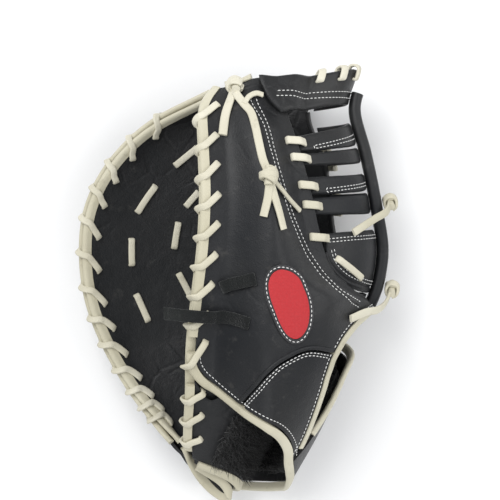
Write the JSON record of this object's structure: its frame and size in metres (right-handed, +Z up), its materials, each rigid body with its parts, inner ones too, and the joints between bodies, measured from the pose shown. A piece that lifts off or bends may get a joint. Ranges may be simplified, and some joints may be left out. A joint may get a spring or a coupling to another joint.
{
  "type": "first baseman mitt",
  "caption": "First baseman's baseball mitt in black leather with cream laces and bindings, an open bar web with a rolled spine, a closed thumb stall and a padded pocket.",
  "frame": {"origin": "on the table, under the middle of the mitt's bounding box", "axes": "+Y from the heel to the top of the web, +X from the finger rim to the web's spine, +Z up from the table towards the thumb side"},
  "size_m": [0.252, 0.3348, 0.1464],
  "materials": {
    "black_leather": "smooth full-grain, soft sheen",
    "palm_leather": "smooth, slightly duller than the backs",
    "cream_binding": "satin",
    "cream_lace": "rawhide, satin",
    "black_suede": "rough, matt",
    "black_fur": "synthetic fur, matt",
    "red_patch": "woven, satin"
  },
  "bodies": {
    "root": {"palm": "palm_leather", "thumb_back": "black_leather", "finger_back": "black_leather", "wrist_strap": "black_leather", "wrist_flap": "black_leather", "strap_fur": "black_fur", "flap_fur": "black_fur", "hand_liner": "palm_leather", "web_bar_upper": "black_leather", "web_roll_upper": "black_leather", "web_bar_lower": "black_leather", "web_roll_lower": "black_leather", "web_fan": "black_leather", "web_top_bar": "black_leather", "web_spine": "black_leather", "palm_thumb_binding": "cream_binding", "palm_finger_binding": "cream_binding", "thumb_back_binding": "cream_binding", "finger_back_binding": "cream_binding", "liner_thumb_binding": "cream_binding", "palm_heel_binding": "cream_binding", "liner_heel_binding": "cream_binding", "wrist_binding": "cream_binding", "open_back_binding": "cream_binding", "flap_binding": "cream_binding", "top_edge_binding": "cream_binding", "thumb_web_welt": "black_leather", "finger_web_welt": "black_leather", "thumb_rim_lace": "cream_lace", "finger_rim_lace": "cream_lace", "thumb_web_lace": "cream_lace", "finger_web_lace": "cream_lace", "top_loop_1": "cream_lace", "top_loop_2": "cream_lace", "top_loop_3": "cream_lace", "pocket_lace_1": "cream_lace", "pocket_lace_2": "cream_lace", "pocket_lace_3": "cream_lace", "pocket_lace_4": "cream_lace", "pocket_lace_5": "cream_lace", "pocket_lace_6": "cream_lace", "pocket_lace_7": "cream_lace", "fan_lace": "cream_lace", "thumb_tie": "cream_lace", "upper_tie": "cream_lace", "lower_tie": "cream_lace", "long_suede_strip": "black_suede", "short_suede_strip": "black_suede", "oval_patch": "red_patch"}
  },
  "joints": []
}
